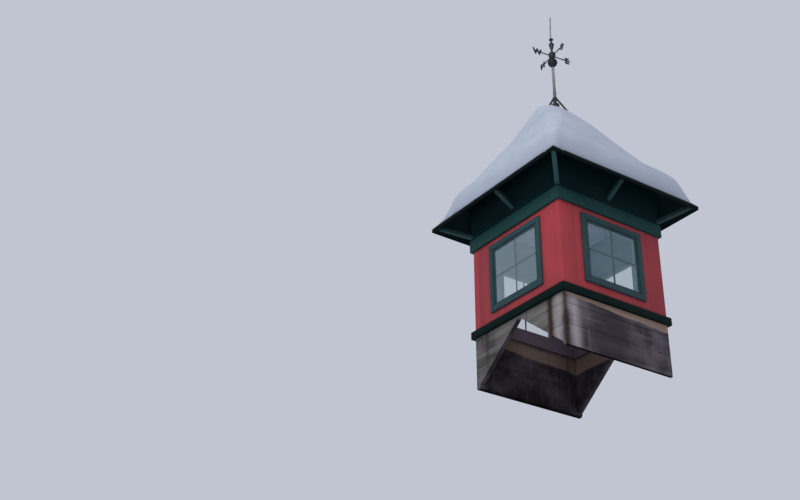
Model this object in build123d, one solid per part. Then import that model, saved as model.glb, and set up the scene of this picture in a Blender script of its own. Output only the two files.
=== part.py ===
from build123d import *
import math
import os

# A square roof cupola with a window in each wall, a bell-cast hip roof under snow, and a weathervane.
# It stands over the ridge of a larger roof, which runs along X. All sizes are in millimetres.
# The origin is at the middle of the base, on the ground that the curb's feet stand on, with +Z up.
# Levels are heights above the foot of the red walls, unless their comment says otherwise.

# Body
body_width = 1000.0              # across the outer faces of opposite walls
wall_thickness = 57.0
seat_gap = 0.3                   # where a piece stands under or in another without being planed to it

# Curb, with a notch over the ridge in the two side boards
curb_thickness = 38.0
main_roof_pitch = 38.5           # degrees
ridge_cover = 80.0               # timber left between the notch and the walls
foot_width = 22.0                # level part under the front and back boards

# Water table
water_table_depth = 72.0
water_table_projection = 25.0
water_table_slope = 12.0         # fall of its weathered top edge
water_table_lip = 5.0            # thickness of that edge at the wall

# Windows
casing_outer_width = 588.0
casing_outer_height = 563.0
casing_level = 64.0              # bottom of the casing
casing_width = 43.0
casing_thickness = 16.0
sash_rail = 18.0
sash_thickness = 38.0
sash_projection = 8.0            # in front of the wall's outer face
glass_thickness = 4.0
glass_setback = 5.0              # from the face of the sash
glass_cover = 6.0                # edge of the glass that is held in the sash

# Frieze and eave boards
frieze_clearance = 43.0          # red wall between the casing and the frieze
frieze_height = 106.0
frieze_thickness = 20.0
frieze_bevel = 4.0
eave_board_thickness = 8.0

# Roof
eave_overhang = 231.0            # from the walls to the outer face of the fascia
eave_level = 909.0               # top of the roof at its edge
apex_level = 1949.0
roof_sag = 38.0                  # of the bell-cast curve, below a straight slope
roof_thickness = 22.0
fascia_thickness = 12.0
fascia_depth = 25.0
hip_cap_thickness = 3.0
hip_cap_width = 75.0             # on each face of the roof, square to the hip in plan
ceiling_level = 880.0
ceiling_thickness = 12.0

# Eave braces
brace_width = 34.0
brace_depth = 30.0
brace_rise = 31.0                # degrees, outward
side_brace_gap = 50.0            # from the frieze's top to the lowest point of the brace
corner_brace_gap = 2.0

# Snow
snow_depth = 95.0                # square to the roof
snow_setback = 22.0              # from the fascia's face to the edge of the snow
snow_nose_run = 110.0            # of the rounded lower edge
snow_nose_height = 240.0
snow_corner = 60.0               # rounding of its corners in plan, at the edge
snow_corner_growth = 0.1         # more rounding towards the top
snow_top_level = 1980.0
snow_top_width = 160.0
snow_lean = (-30.0, 90.0)        # of its blunt top off the middle, in X and Y
snow_lean_power = 5              # the higher, the later on the way up it leans
snow_nose_steps = 4
snow_slope_steps = 6
snow_corner_steps = 3
snow_clearance = 1.0             # round the mast bracket

# Mast bracket, with heights above the roof's apex
collar_radius = 33.0
collar_skirt = 62.0              # below the apex
collar_height = 42.0
ring_wall = 5.0                  # of the clamp ring that the straps hang from
ring_height = 20.0
strap_top = 101.0                # middle of the ring
strap_width = 24.0
strap_thickness = 8.0
strap_reach = 265.0              # from the axis to the foot of a strap, along the hip

# Weathervane. Each height is measured from the piece below, so that all above moves with it.
ferrule_radius = 14.0
ferrule_height = 179.0           # top of the thick lower length of the mast, above the roof's apex
mast_radius = 12.0
mast_length = 245.0              # from the ferrule to the shoulder that the globe stands on
tenon_radius = 4.0               # thin upper length that the ball, hub and finial are threaded on
spindle_radius = 3.5             # that the arrow turns on
thread_gap = 0.1                 # round the tenon
neck_wall = 2.5                  # of the thin ends of the threaded pieces
globe_radius = 40.0
globe_rise = 50.0                # from the mast's shoulder to its middle
globe_neck = 9.0                 # radius of its pointed lower end
globe_low_angle = -35.0          # degrees up from its middle at which the point starts
globe_high_angle = 80.0          # and the hub sits
hub_radius = 30.0
hub_rise = 36.0                  # from the globe's top to its widest place
hub_crown = 43.0                 # from there to its top
hub_low_angle = -60.0
arm_radius = 4.5
arm_reach = 182.0                # from the axis
arm_turn = -8.0                  # degrees from the body's axes
arm_drop = 6.0                   # below the hub's widest place
letter_place = 144.0             # from the axis to the middle of a letter plate
letter_width = 46.0
letter_height = 56.0
letter_thickness = 3.0
finial_ball_radius = 22.0
finial_ball_rise = 67.0          # from the hub's top to its widest place
finial_disc_radius = 20.0
finial_disc_height = 10.0
finial_disc_rise = 56.0          # from the ball's widest place to the disc's
finial_tip = 19.0                # from there to the top
turned_steps = 3                 # straight stretches to a quarter of a turned curve

# Wind arrow, which turns on the spindle
arrow_rise = 111.0               # from the finial's top
arrow_azimuth = 229.0            # degrees from +X, where it points at rest
arrow_head_reach = 150.0
arrow_tail_reach = 140.0
arrow_rod_radius = 4.0
arrow_plate = 2.5
head_length = 50.0
head_height = 40.0
fin_length = 72.0
fin_height = 52.0
fin_notch = 22.0
bearing_gap = 0.05               # radial, a running fit
bearing_wall = 1.5
bearing_length = 30.0            # below the arrow
bearing_cap = 12.0               # above the arrow
bearing_seat = 0.3               # between the spindle's tip and the cap

os.makedirs("parts", exist_ok=True)

SIDE_TURNS = {"front": 0, "right": 90, "back": 180, "left": 270}
ROOT2 = math.sqrt(2)

body_half = body_width / 2
inner_half = body_half - wall_thickness
eave_half = body_half + eave_overhang
ridge_slope = math.tan(math.radians(main_roof_pitch))
wall_base = ridge_cover + body_half * ridge_slope
frieze_level = casing_level + casing_outer_height + frieze_clearance
neck_radius = tenon_radius + neck_wall

# The bell-cast curve is one arc, from the roof's edge to its apex, with its centre out above the eave.
eave_point = Vector(-eave_half, wall_base + eave_level)
apex_point = Vector(0, wall_base + apex_level)
chord = apex_point - eave_point
chord_out = Vector(-chord.Y, chord.X).normalized()
curve_radius = (chord.length ** 2 / 4 + roof_sag ** 2) / (2 * roof_sag)
curve_centre = (eave_point + apex_point) / 2 + chord_out * (curve_radius - roof_sag)


def roof_height(half, inset=0.0):
    """Height of the roof at a distance from the middle, inset below its top surface."""
    return curve_centre.Y - math.sqrt((curve_radius + inset) ** 2 - (half + curve_centre.X) ** 2)


def roof_half(height, inset=0.0):
    """Distance from the middle at which the roof has a height, inset below its top surface."""
    return -curve_centre.X - math.sqrt((curve_radius + inset) ** 2 - (height - curve_centre.Y) ** 2)


def under_roof(half, inset=0.0):
    """All that lies under the roof's surface, or under one inset below it, out to a half-width."""
    def point(run):
        return (run, roof_height(abs(run), inset))
    outline = (
        ThreePointArc(point(-half), point(-half / 2), point(0))
        + ThreePointArc(point(0), point(half / 2), point(half))
        + Polyline(point(half), (half, 0), (-half, 0), point(-half))
    )
    vault = extrude(Plane.YZ * make_face(outline), amount=half, both=True)
    return vault & vault.rotate(Axis.Z, 90)


def roof_layer(half, low_inset, high_inset):
    """The front quarter of a layer of the roof between two insets, out to a half-width."""
    def arc(inset):
        return ThreePointArc(*[(-run, roof_height(run, inset)) for run in (0, half / 2, half)])
    ends = [Line(*[(-run, roof_height(run, inset)) for inset in (low_inset, high_inset)]) for run in (0, half)]
    layer = extrude(Plane.YZ * make_face(arc(low_inset) + arc(high_inset) + ends), amount=half + 1, both=True)
    return layer & front_quarter()


def outline_face(points):
    """A flat face with straight edges through the points."""
    return make_face(Polyline(*points, points[0]))


def front_quarter():
    """The space in front of both diagonals of the plan."""
    reach = 2 * eave_half
    return extrude(outline_face([(0, 0), (reach, -reach), (-reach, -reach)]), amount=apex_point.Y + reach)


def front_prism(section, length):
    """A bar along the front, from an outline of (distance out from the middle, height)."""
    face = Plane.YZ * outline_face([(-out, height) for out, height in section])
    return extrude(face, amount=length / 2, both=True)


def mitred(section):
    """A trim board along the front, with its ends mitred at the corners."""
    widest = max(out for out, height in section)
    return front_prism(section, 2 * (widest + 1)) & front_quarter()


def front_block(width, out_low, out_high, low, high):
    """A square block in the front, from its width, its reach out from the middle and its heights."""
    return front_prism([(out_low, low), (out_high, low), (out_high, high), (out_low, high)], width)


def save(shape, name):
    """Write one node."""
    export_step(shape, f"parts/{name}.step")


def save_sides(name, piece):
    """Write a piece of the front side, and its copies on the other three."""
    for side, turn in SIDE_TURNS.items():
        save(piece.rotate(Axis.Z, turn), f"{name}_{side}")


def save_group(name, pieces):
    """Write pieces that don't touch as one node."""
    save(Compound(children=pieces), name)


# Curb. The front and back boards run through, and the side boards fit between them.
foot_slope = (curb_thickness - foot_width) * ridge_slope
front_curb = front_prism(
    [
        (body_half, 0),
        (body_half, wall_base),
        (body_half - curb_thickness, wall_base),
        (body_half - curb_thickness, foot_slope),
        (body_half - foot_width, 0),
    ],
    body_width,
)
side_curb_half = body_half - curb_thickness
side_curb_foot = curb_thickness * ridge_slope
side_curb = extrude(
    Plane.YZ
    * outline_face(
        [
            (-side_curb_half, wall_base),
            (-side_curb_half, side_curb_foot),
            (0, body_half * ridge_slope),
            (side_curb_half, side_curb_foot),
            (side_curb_half, wall_base),
        ]
    ),
    amount=curb_thickness,
)
save(front_curb, "curb_front")
save(front_curb.rotate(Axis.Z, 180), "curb_back")
save(Pos(body_half - curb_thickness, 0, 0) * side_curb, "curb_right")
save(Pos(-body_half, 0, 0) * side_curb, "curb_left")

# Water table, a band with a weathered top edge
water_table_top = wall_base
water_table = mitred(
    [
        (body_half, water_table_top - water_table_depth),
        (body_half + water_table_projection, water_table_top - water_table_depth),
        (body_half + water_table_projection, water_table_top - water_table_slope),
        (body_half + water_table_lip, water_table_top),
        (body_half, water_table_top),
    ]
)
save_sides("water_table", water_table)

# Windows
opening_width = casing_outer_width - 2 * casing_width
opening_height = casing_outer_height - 2 * casing_width
opening_base = wall_base + casing_level + casing_width


def window_block(margin, out_low, out_high):
    """A block as large as the window opening with a margin all round."""
    return front_block(
        opening_width + 2 * margin,
        out_low,
        out_high,
        opening_base - margin,
        opening_base + opening_height + margin,
    )


def window_frame(outer_margin, inner_margin, out_low, out_high):
    """A square frame, between two margins from the window opening."""
    return window_block(outer_margin, out_low, out_high) - window_block(inner_margin, out_low - 1, out_high + 1)


sash_face = body_half + sash_projection
glass_face = sash_face - glass_setback
casing = window_frame(casing_width, 0, body_half, body_half + casing_thickness)
glass = window_block(glass_cover - sash_rail, glass_face - glass_thickness, glass_face)
sash = window_frame(-seat_gap, -sash_rail, sash_face - sash_thickness, sash_face) - glass
save_sides("window_casing", casing)
save_sides("window_sash", sash)
save_group("window_glass", [glass.rotate(Axis.Z, turn) for turn in SIDE_TURNS.values()])

# Walls. The front and back walls run through, and the side walls fit between them.
wall_top = roof_height(body_half, roof_thickness) - seat_gap


def wall(width):
    """A front wall of a width, with its window opening cut through."""
    panel = front_block(width, inner_half, body_half, wall_base, wall_top)
    return panel - window_block(0, inner_half - 1, body_half + 1)


long_wall = wall(body_width)
short_wall = wall(2 * inner_half)
for side, turn in SIDE_TURNS.items():
    panel = long_wall if side in ("front", "back") else short_wall
    save(panel.rotate(Axis.Z, turn), f"wall_{side}")

# Frieze, and the eave boards between it and the roof
frieze_base = wall_base + frieze_level
frieze_top = frieze_base + frieze_height
frieze_face = body_half + frieze_thickness
frieze = mitred(
    [
        (body_half, frieze_base),
        (frieze_face, frieze_base),
        (frieze_face, frieze_top - frieze_bevel),
        (frieze_face - frieze_bevel, frieze_top),
        (body_half, frieze_top),
    ]
)
save_sides("frieze", frieze)

eave_board_face = body_half + eave_board_thickness
eave_board_top = roof_height(eave_board_face, roof_thickness) - seat_gap
eave_board = mitred(
    [
        (body_half, frieze_top),
        (eave_board_face, frieze_top),
        (eave_board_face, eave_board_top),
        (body_half, eave_board_top),
    ]
)
save_sides("eave_board", eave_board)

# Ceiling
save(
    Pos(0, 0, wall_base + ceiling_level)
    * Box(2 * inner_half, 2 * inner_half, ceiling_thickness, align=(Align.CENTER, Align.CENTER, Align.MIN)),
    "ceiling",
)

# Roof: four curved panels with mitred hips, cut plumb behind the fascia
panel_half = eave_half - fascia_thickness
save_sides("roof", roof_layer(panel_half, roof_thickness, 0))

fascia_base = eave_point.Y - fascia_depth
fascia = mitred(
    [
        (panel_half, fascia_base),
        (eave_half, fascia_base),
        (eave_half, roof_height(eave_half) - seat_gap),
        (panel_half, roof_height(panel_half) - seat_gap),
    ]
)
save_sides("fascia", fascia)

# Hip caps: a bent strip over each hip, and the four meet at the apex
hip_slab = Box(4 * eave_half, ROOT2 * hip_cap_width, 2 * apex_point.Y)
hip_slabs = hip_slab.rotate(Axis.Z, 45) + hip_slab.rotate(Axis.Z, -45)
cap_quarter = roof_layer(eave_half, 0, -hip_cap_thickness) & hip_slabs
hip_caps = cap_quarter
for turn in (90, 180, 270):
    hip_caps += cap_quarter.rotate(Axis.Z, turn)
save(hip_caps, "hip_caps")

# Eave braces: one in the middle of each side and one at each corner, cut to the roof above them
brace_slope = math.tan(math.radians(brace_rise))
brace_space = under_roof(eave_half, roof_thickness + seat_gap)
walls_block = Box(2 * eave_board_face, 2 * eave_board_face, 2 * apex_point.Y)


def brace(gap, start, stretch):
    """A bar that rises outward from above the frieze to the roof, with its runs stretched on a diagonal."""
    far = eave_half - body_half
    low = frieze_top + gap
    drop = brace_depth / math.cos(math.radians(brace_rise))
    bar = front_prism(
        [
            (start * stretch, low),
            ((start + far) * stretch, low + far * brace_slope),
            ((start + far) * stretch, low + far * brace_slope + drop),
            (start * stretch, low + drop),
        ],
        brace_width,
    )
    return bar


braces = []
for turn in SIDE_TURNS.values():
    side_brace = brace(side_brace_gap, eave_board_face, 1).rotate(Axis.Z, turn)
    braces.append(side_brace & brace_space)
    corner_start = eave_board_face - brace_width / ROOT2
    corner_brace = brace(corner_brace_gap, corner_start, ROOT2).rotate(Axis.Z, turn + 45)
    braces.append((corner_brace - walls_block) & brace_space)
save_group("eave_braces", braces)

# Mast bracket: a collar over the apex, and a ring round the mast with a strap down to each hip
covered_roof = under_roof(eave_half, -hip_cap_thickness - seat_gap)
cap_apex = roof_height(0, -hip_cap_thickness - seat_gap)
apex = apex_point.Y
ring_middle = apex + strap_top


def upright(radius, low, high):
    """A round bar on the axis between two heights."""
    return Pos(0, 0, low) * Cylinder(radius, high - low, align=(Align.CENTER, Align.CENTER, Align.MIN))


def strap(margin):
    """A flat strap from the ring straight down to a hip, thickened by a margin, still in the front."""
    start = Vector(ferrule_radius + thread_gap, ring_middle)
    end = Vector(strap_reach, roof_height(strap_reach / ROOT2, -hip_cap_thickness))
    along = (end - start).normalized()
    across = Vector(-along.Y, along.X) * (strap_thickness / 2 + margin)
    end = end + along * (strap_thickness + margin)
    corners = [start + across, end + across, end - across, start - across]
    return front_prism([(corner.X, corner.Y) for corner in corners], strap_width + 2 * margin)


def bracket(margin):
    """The collar, and the ring with its four straps, thickened by a margin."""
    collar = upright(collar_radius + margin, apex - collar_skirt, apex + collar_height + margin)
    reach = ring_height / 2 + margin
    ring = upright(ferrule_radius + ring_wall + margin, ring_middle - reach, ring_middle + reach)
    for turn in SIDE_TURNS.values():
        ring += strap(margin).rotate(Axis.Z, turn + 45)
    return collar, ring


socket = upright(ferrule_radius + thread_gap, cap_apex, ring_middle + ring_height)
save_group("mast_bracket", [piece - covered_roof - socket for piece in bracket(0)])

# Snow: one sheet over the roof, with a rounded lower edge, rounded hips and a blunt top off the middle
snow_half = eave_half - snow_setback
nose_base = roof_height(snow_half)
snow_top = wall_base + snow_top_level
nose = []
for step in range(snow_nose_steps):
    angle = math.radians(60) * step / (snow_nose_steps - 1)
    half = snow_half - snow_nose_run * (1 - math.cos(angle))
    nose.append((half, nose_base + snow_nose_height * math.sin(angle)))
slope_base = nose[-1][1] + (snow_nose_height / 4)
slope_top = snow_top - snow_top_width / 3
slope = []
for step in range(snow_slope_steps):
    height = slope_base + (slope_top - slope_base) * step / (snow_slope_steps - 1)
    slope.append((roof_half(height, -snow_depth), height))


def snow_section(half, height):
    """A rounded square, level across the whole sheet of snow."""
    corner = min(0.9 * half, snow_corner + snow_corner_growth * (snow_half - half))
    climb = max(0, height - slope_base) / (snow_top - slope_base)
    lean = [reach * climb ** snow_lean_power for reach in snow_lean]
    centre = ROOT2 * (half - corner)
    points = []
    for quarter in range(4):
        for step in range(snow_corner_steps + 1):
            middle = math.radians(90 * quarter + 45)
            angle = math.radians(90 * (quarter + step / snow_corner_steps))
            points.append(
                (
                    centre * math.cos(middle) + corner * math.cos(angle),
                    centre * math.sin(middle) + corner * math.sin(angle),
                )
            )
    return Pos(lean[0], lean[1], height) * outline_face(points)


sections = [(snow_half, wall_base), *nose, *slope, (snow_top_width / 2, snow_top)]
snow = loft([snow_section(half, height) for half, height in sections], ruled=True) - covered_roof
for piece in bracket(snow_clearance):
    snow -= piece
save(snow, "roof_snow")


def threaded(profile):
    """A turned piece with a hole for the tenon, from the (radius, height) points of its side, from the bottom."""
    outline = outline_face([(0, profile[0][1]), *profile, (0, profile[-1][1])])
    turned = revolve(Plane.XZ * outline, Axis.Z)
    return turned - upright(tenon_radius + thread_gap, wall_base, 2 * apex)


def turned_curve(centre, width, height, start, end):
    """Points along an oval about a (radius, height) centre, between two angles up from level."""
    steps = math.ceil(turned_steps * abs(end - start) / 90)
    angles = [math.radians(start + (end - start) * step / steps) for step in range(steps + 1)]
    return [(centre[0] + width * math.cos(angle), centre[1] + height * math.sin(angle)) for angle in angles]


# Mast
ferrule_top = apex + ferrule_height
shoulder = ferrule_top + mast_length
globe_middle = shoulder + globe_rise
globe_side = turned_curve((0, globe_middle), globe_radius, globe_radius, globe_low_angle, globe_high_angle)
globe_top = globe_side[-1][1]
hub_middle = globe_top + hub_rise
hub_top = hub_middle + hub_crown
ball_middle = hub_top + finial_ball_rise
disc_middle = ball_middle + finial_disc_rise
finial_top = disc_middle + finial_tip
arrow_middle = finial_top + arrow_rise
spindle_tip = arrow_middle + bearing_cap / 2
mast = (
    upright(ferrule_radius, cap_apex, ferrule_top)
    + upright(mast_radius, ferrule_top, shoulder)
    + upright(tenon_radius, shoulder, finial_top)
    + upright(spindle_radius, finial_top, spindle_tip)
)
save(mast, "mast")

# Globe, with a pointed lower end that stands on the mast's shoulder
save(threaded([(globe_neck, shoulder), *globe_side]), "globe")

# Directional arms on a bulb-shaped hub that stands on the globe, with a plate for each letter
hub_side = turned_curve((0, hub_middle), hub_radius, hub_rise, hub_low_angle, 0)
hub_shoulder = turned_curve((neck_radius, hub_middle), hub_radius - neck_radius, hub_crown / 2, 0, 90)
directionals = threaded([(hub_radius / 2, globe_top), *hub_side[1:], *hub_shoulder[1:], (neck_radius, hub_top)])
arm = Plane.YZ.offset(hub_radius / 2) * Cylinder(
    arm_radius, arm_reach - hub_radius / 2, align=(Align.CENTER, Align.CENTER, Align.MIN)
)
letter_plate = Pos(letter_place, 0, 0) * Box(letter_width, letter_thickness, letter_height)
for turn in SIDE_TURNS.values():
    directionals += (Pos(0, 0, hub_middle - arm_drop) * (arm + letter_plate)).rotate(Axis.Z, turn + arm_turn)
save(directionals, "directionals")

# Finial: an inverted teardrop, a disc and a neck, turned in one piece
ball_side = turned_curve((neck_radius, ball_middle), finial_ball_radius - neck_radius, finial_ball_radius, 0, 90)
disc_low = disc_middle - finial_disc_height / 2
finial_side = [
    (neck_radius, hub_top),
    *ball_side,
    (neck_radius, disc_low),
    (finial_disc_radius, disc_middle),
    (neck_radius, disc_low + finial_disc_height),
    (neck_radius, finial_top),
]
save(threaded(finial_side), "finial")

# Wind arrow, with a closed bearing that hangs on the spindle
bearing_bore = spindle_radius + bearing_gap
bearing = upright(bearing_bore + bearing_wall, arrow_middle - bearing_length, arrow_middle + bearing_cap)
rod = Plane.YZ.offset(-arrow_tail_reach) * Cylinder(
    arrow_rod_radius, arrow_tail_reach + arrow_head_reach - head_length / 2, align=(Align.CENTER, Align.CENTER, Align.MIN)
)
head = outline_face(
    [
        (arrow_head_reach, 0),
        (arrow_head_reach - head_length, head_height / 2),
        (arrow_head_reach - head_length * 0.75, 0),
        (arrow_head_reach - head_length, -head_height / 2),
    ]
)
fin = outline_face(
    [
        (-arrow_tail_reach + fin_notch, 0),
        (-arrow_tail_reach, fin_height / 2),
        (-arrow_tail_reach + fin_length * 0.6, fin_height / 2),
        (-arrow_tail_reach + fin_length, 0),
        (-arrow_tail_reach + fin_length * 0.6, -fin_height / 2),
        (-arrow_tail_reach, -fin_height / 2),
    ]
)
plates = extrude(Plane.XZ * head, amount=arrow_plate / 2, both=True) + extrude(
    Plane.XZ * fin, amount=arrow_plate / 2, both=True
)
arrow = Pos(0, 0, arrow_middle) * (rod + plates)
arrow = (arrow + bearing) - upright(bearing_bore, wall_base, spindle_tip + bearing_seat)
save(arrow.rotate(Axis.Z, arrow_azimuth), "wind_arrow")
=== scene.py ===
"""A square roof cupola under snow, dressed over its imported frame.

Sizes are in metres in the frame of the CAD: the origin is at the middle of the base, +Z is up,
the front wall looks along -Y and the right wall along +X. Pieces of one side are made for the front
and copied round to the other three.
"""

from __future__ import annotations

import logging
import math
import random
from collections.abc import Iterator, Sequence
from contextlib import contextmanager
from dataclasses import dataclass, field
from enum import Enum
from functools import cache, cached_property

import bpy
from mathutils import Matrix, Vector, noise


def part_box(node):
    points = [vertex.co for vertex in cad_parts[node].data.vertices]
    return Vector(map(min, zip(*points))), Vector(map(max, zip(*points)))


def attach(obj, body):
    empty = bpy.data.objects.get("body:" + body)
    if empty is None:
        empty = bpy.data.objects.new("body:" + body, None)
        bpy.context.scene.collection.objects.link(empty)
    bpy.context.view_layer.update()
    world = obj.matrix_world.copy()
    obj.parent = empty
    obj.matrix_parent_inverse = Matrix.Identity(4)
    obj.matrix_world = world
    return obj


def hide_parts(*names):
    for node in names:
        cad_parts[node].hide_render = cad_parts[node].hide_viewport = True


LOG = logging.getLogger("roof_cupola")
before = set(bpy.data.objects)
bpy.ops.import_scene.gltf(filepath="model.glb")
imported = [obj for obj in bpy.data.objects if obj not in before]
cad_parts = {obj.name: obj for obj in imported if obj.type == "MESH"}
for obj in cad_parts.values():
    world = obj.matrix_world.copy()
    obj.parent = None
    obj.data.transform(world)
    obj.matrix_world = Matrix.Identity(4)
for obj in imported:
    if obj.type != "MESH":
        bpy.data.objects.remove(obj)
WALL_HALF = 0.5
CASING_WIDTH = 0.043
SMOOTH_ANGLE = math.radians(32)
SHARP_ANGLE = math.radians(25)
Colour = tuple[float, float, float]
Feeds = dict[str | int, object]
Point = tuple[float, float, float]
Sizes = tuple[float, ...]
Profile = Sequence[tuple[float, float]]
Material = bpy.types.Material
Piece = bpy.types.Object
Socket = bpy.types.NodeSocket


class Side(Enum):
    """The sides of the body, as turns about its middle in degrees from the front."""

    FRONT = 0
    RIGHT = 90
    BACK = 180
    LEFT = 270

    def named(self, word: str) -> str:
        """Return a piece's name on this side."""
        return f"{word}_{self.name.lower()}"

    def turn(self) -> Matrix:
        """Return the turn from the front to this side."""
        return Matrix.Rotation(math.radians(self.value), 4, "Z")


class Grain(Enum):
    """How a pattern is stretched on a board, by the way that its grain runs."""

    UPRIGHT = (1.0, 1.0, 0.06)
    LEVEL = (0.06, 0.06, 1.0)
    EVEN = (1.0, 1.0, 1.0)


@dataclass(frozen=True)
class Pattern:
    """A value that varies over a surface, such as a noise, a height or a colour."""

    graph: Graph
    socket: Socket

    def __add__(self, other: Pattern | float) -> Pattern:
        """Return the sum with another value."""
        return self.graph.math("ADD", self, other)

    def __sub__(self, other: Pattern | float) -> Pattern:
        """Return the difference from another value."""
        return self.graph.math("SUBTRACT", self, other)

    def __mul__(self, other: Pattern | float) -> Pattern:
        """Return the product with another value."""
        return self.graph.math("MULTIPLY", self, other)

    def fade(self, start: float, end: float, top: float = 1.0) -> Pattern:
        """Return the value stretched so that it is 0 at the start and the top value at the end."""
        feeds = {"Value": self, "From Min": start, "From Max": end, "To Max": top}
        return self.graph.add("MapRange", "Result", feeds, interpolation_type="SMOOTHSTEP")

    def band(self, middle: float, half: float) -> Pattern:
        """Return 1 at the middle, and 0 at half a width to either side of it."""
        return self.fade(middle - half, middle) * self.fade(middle + half, middle)


class Graph:
    """The nodes of a material or a world, with a short method for each kind that is used."""

    def __init__(self, owner: Material | bpy.types.World) -> None:
        """Open the nodes of a material or a world."""
        owner.use_nodes = True
        self.owner = owner
        self.nodes = owner.node_tree.nodes
        self.links = owner.node_tree.links

    @classmethod
    def of(cls, name: str) -> Graph:
        """Return the nodes of a new material."""
        return cls(bpy.data.materials.new(name))

    @property
    def shader(self) -> bpy.types.Node:
        """Return a material's own shader."""
        return self.nodes["Principled BSDF"]

    @cached_property
    def place(self) -> Pattern:
        """Return the piece's own coordinates."""
        return self.add("TexCoord", "Object")

    def add(self, kind: str, output: str | int, feeds: Feeds | None = None, **settings: str) -> Pattern:
        """Add a node.

        Args:
            kind: Its type, without the word that all of them start with.
            output: The output that is wanted.
            feeds: What goes into its sockets.
            settings: Its other settings.

        Returns:
            That output.
        """
        node = self.nodes.new(f"ShaderNode{kind}")
        for key, value in settings.items():
            setattr(node, key, value)
        for key, value in (feeds or {}).items():
            self.feed(node.inputs[key], value)
        return Pattern(self, node.outputs[output])

    def feed(self, socket: Socket, value: object) -> None:
        """Link a socket to another node's output, or set it to a plain value."""
        if isinstance(value, Pattern):
            value = value.socket
        if isinstance(value, Socket):
            self.links.new(value, socket)
        elif socket.type == "RGBA":
            socket.default_value = (*value, 1.0)
        else:
            socket.default_value = value

    def noise(self, scale: float, grain: Grain = Grain.EVEN, detail: float = 4.0) -> Pattern:
        """Return a noise pattern.

        Args:
            scale: Its fineness, in features to the metre.
            grain: How it is stretched.
            detail: How much fine detail it has.

        Returns:
            The pattern, which is about 0.5 on average.
        """
        stretched = self.add("Mapping", "Vector", {"Vector": self.place, "Scale": grain.value})
        return self.add("TexNoise", "Fac", {"Vector": stretched, "Scale": scale, "Detail": detail})

    def math(self, operation: str, one: object, two: object) -> Pattern:
        """Return a sum, product or the like of two values."""
        return self.add("Math", 0, {0: one, 1: two}, operation=operation)

    def blend(self, amount: object, one: object, two: object) -> Pattern:
        """Return a mix of two colours."""
        return self.add("Mix", 2, {0: amount, 6: one, 7: two}, data_type="RGBA")

    def coats(self, colour: Colour | Pattern, *coats: tuple[Pattern, Colour]) -> Pattern:
        """Return a colour with others laid over it in turn, each by its own amount."""
        for amount, over in coats:
            colour = self.blend(amount, colour, over)
        return colour

    def axis(self, letter: str) -> Pattern:
        """Return the place along one axis."""
        return self.add("SeparateXYZ", letter, {0: self.place})

    def tone(self) -> Pattern:
        """Return the tone that each board was given, from -1 to 1: at random on most pieces, and as painted shade
        where it goes by a piece's place, on the wall boards and knee braces.
        """
        return self.add("Attribute", "Fac", attribute_name="tone")

    def relief(self, height: Pattern, depth: float, strength: float) -> None:
        """Raise the surface by a pattern, up to a depth in metres."""
        bump = self.add("Bump", "Normal", {"Distance": depth, "Strength": strength, "Height": height})
        self.feed(self.shader.inputs["Normal"], bump)

    def surface(self, output: str, amount: Pattern, one: object, two: object) -> None:
        """Show a mix of two shaders at an output node."""
        self.feed(self.nodes[output].inputs["Surface"], self.add("MixShader", 0, {0: amount, 1: one, 2: two}))

    def finish(self, colour: object, rough: object, metal: float = 0.0, gloss: float = 0.5) -> Material:
        """Set the shader's colour, roughness, metal and specular level, and return the material."""
        values = {"Base Color": colour, "Roughness": rough, "Metallic": metal, "Specular IOR Level": gloss}
        for name, value in values.items():
            self.feed(self.shader.inputs[name], value)
        return self.owner


@dataclass(frozen=True)
class Paint:
    """Paint on sawn boards, with the grain showing through, some weathering, and on some pieces painted shade through
    their tone.
    """

    name: str
    colour: Colour
    shade: Colour
    worn: Colour
    grain: Grain = Grain.UPRIGHT
    rough: float = 0.5
    tone_depth: float = 0.35
    wear: float = 0.25
    gloss: float = 0.14

    def material(self) -> Material:
        """Return the material."""
        graph = Graph.of(self.name)
        fibres = graph.noise(95, self.grain, 6)
        bands = graph.noise(16, self.grain, 3)
        colour = graph.coats(
            self.shade,
            (graph.noise(2.6, detail=3).fade(0.12, 0.62), self.colour),
            # Tone coat: random on most pieces, painted shade on the wall boards and knee braces
            (graph.tone().fade(-1.0, 1.0, self.tone_depth), self.shade),
            (bands.fade(0.42, 0.72, self.wear), self.worn),
            (fibres.fade(0.55, 0.8, 0.3), self.shade),
        )
        graph.relief(fibres, 0.0012, 0.5)
        return graph.finish(colour, bands.fade(0.2, 0.8, 0.25) + self.rough, gloss=self.gloss)


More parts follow.
